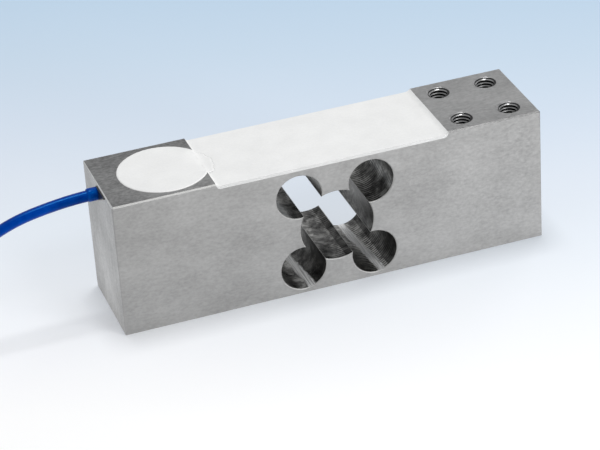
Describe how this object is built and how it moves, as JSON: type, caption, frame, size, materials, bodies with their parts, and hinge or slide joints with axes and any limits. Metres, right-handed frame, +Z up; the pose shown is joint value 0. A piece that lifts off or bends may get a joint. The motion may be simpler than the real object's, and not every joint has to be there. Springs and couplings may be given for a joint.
{
  "type": "weighing load cell",
  "caption": "Single-point weighing load cell: a steel billet with a milled through window, strain gauges under white silicone in its top, tapped ends and a thin blue cable.",
  "frame": {"origin": "centre of the billet's underside, at the height of its mounting pad", "axes": "+X toward the load end, away from the cable; +Z up out of the silicone; -Y out of the long side that faces the viewer in the picture"},
  "size_m": [0.2313, 0.0445, 0.0424],
  "materials": {
    "stainless": "ground satin",
    "silicone": "matt",
    "gauge_film": "clear amber film",
    "lead_enamel": "enamelled",
    "board": "satin",
    "solder": "bright",
    "chip": "satin",
    "core_black": "satin",
    "core_green": "satin",
    "core_red": "satin",
    "core_white": "satin",
    "tinned_wire": "twisted strands",
    "sealing_compound": "glossy",
    "sleeve": "satin",
    "jacket": "smooth",
    "tie": "satin"
  },
  "bodies": {
    "root": {"spring_element": "stainless", "gauge_coating": "silicone", "pocket_potting": "silicone", "strain_gauge_cable_front": "gauge_film", "strain_gauge_cable_back": "gauge_film", "strain_gauge_load_front": "gauge_film", "strain_gauge_load_back": "gauge_film", "gauge_leads_cable_front": "lead_enamel", "gauge_leads_cable_back": "lead_enamel", "gauge_leads_load_front": "lead_enamel", "gauge_leads_load_back": "lead_enamel", "terminal_board": "board", "solder_joints": "solder", "zero_resistor": "chip", "span_resistor": "chip", "temperature_resistor": "chip", "core_black": "core_black", "core_green": "core_green", "core_red": "core_red", "core_white": "core_white", "core_shield": "tinned_wire", "cable_seal": "sealing_compound", "cable_sleeve": "sleeve", "cable": "jacket", "cable_coil": "jacket", "coil_tie": "tie", "bared_black": "core_black", "bared_green": "core_green", "bared_red": "core_red", "bared_white": "core_white", "bared_shield": "tinned_wire", "tinned_tips": "solder"}
  },
  "joints": []
}
